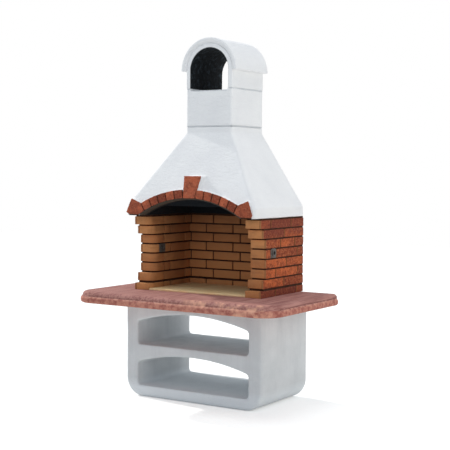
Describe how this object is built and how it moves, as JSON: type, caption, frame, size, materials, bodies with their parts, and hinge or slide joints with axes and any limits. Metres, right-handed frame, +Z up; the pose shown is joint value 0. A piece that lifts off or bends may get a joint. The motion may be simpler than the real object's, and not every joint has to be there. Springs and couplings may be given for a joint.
{
  "type": "outdoor masonry barbecue",
  "caption": "Free-standing masonry barbecue: white cast base with two arched niches, terracotta counter, brick firebox with corbelled jambs, brick arch, white hood and chimney with a barrel cap.",
  "frame": {"origin": "on the ground, under the middle of the counter slab", "axes": "+Z up, +Y to the back, +X to the right of someone who stands at the fire"},
  "size_m": [1.584, 0.91, 2.4514],
  "materials": {
    "white_concrete": "cast concrete, matt",
    "terracotta_concrete": "cast concrete, lightly brushed",
    "refractory_slab": "fired, matt",
    "firebrick": "fired, smooth",
    "rustic_brick": "fired, rough",
    "arch_brick": "fired, rough",
    "dark_mortar": "recessed, sooty",
    "light_mortar": "matt",
    "grey_concrete": "cast, matt",
    "white_render": "fine sanded render",
    "steel": "dull"
  },
  "bodies": {
    "root": {"base_casting": "white_concrete", "counter_slab": "terracotta_concrete", "hearth_slab": "refractory_slab", "back_wall_course_1": "firebrick", "back_wall_course_2": "firebrick", "back_wall_course_3": "firebrick", "back_wall_course_4": "firebrick", "back_wall_course_5": "firebrick", "back_wall_course_6": "firebrick", "back_wall_course_7": "firebrick", "back_wall_course_8": "firebrick", "left_wall_course_1": "firebrick", "left_wall_course_2": "firebrick", "left_wall_course_3": "firebrick", "left_wall_course_4": "firebrick", "left_wall_course_5": "firebrick", "left_wall_course_6": "firebrick", "left_wall_course_7": "firebrick", "left_wall_course_8": "firebrick", "left_facing_slips": "rustic_brick", "left_wall_mortar": "dark_mortar", "left_spit_block": "grey_concrete", "left_spit_sleeve": "steel", "left_spit_inner_plate": "steel", "left_shoulder_stone": "arch_brick", "left_arch_stone_1": "arch_brick", "left_arch_stone_2": "arch_brick", "left_arch_stone_3": "arch_brick", "left_arch_stone_4": "arch_brick", "left_arch_stone_5": "arch_brick", "right_wall_course_1": "firebrick", "right_wall_course_2": "firebrick", "right_wall_course_3": "firebrick", "right_wall_course_4": "firebrick", "right_wall_course_5": "firebrick", "right_wall_course_6": "firebrick", "right_wall_course_7": "firebrick", "right_wall_course_8": "firebrick", "right_facing_slips": "rustic_brick", "right_wall_mortar": "dark_mortar", "right_spit_block": "grey_concrete", "right_spit_sleeve": "steel", "right_spit_inner_plate": "steel", "right_shoulder_stone": "arch_brick", "right_arch_stone_1": "arch_brick", "right_arch_stone_2": "arch_brick", "right_arch_stone_3": "arch_brick", "right_arch_stone_4": "arch_brick", "right_arch_stone_5": "arch_brick", "rear_facing_slips": "rustic_brick", "back_wall_mortar": "dark_mortar", "hood_bed_mortar": "dark_mortar", "keystone": "arch_brick", "arch_mortar": "dark_mortar", "hood_casting": "white_render", "stack_bed_mortar": "light_mortar", "flue_stack": "white_render", "head_bed_mortar": "light_mortar", "chimney_head": "white_render", "barrel_cap": "white_render"}
  },
  "joints": []
}
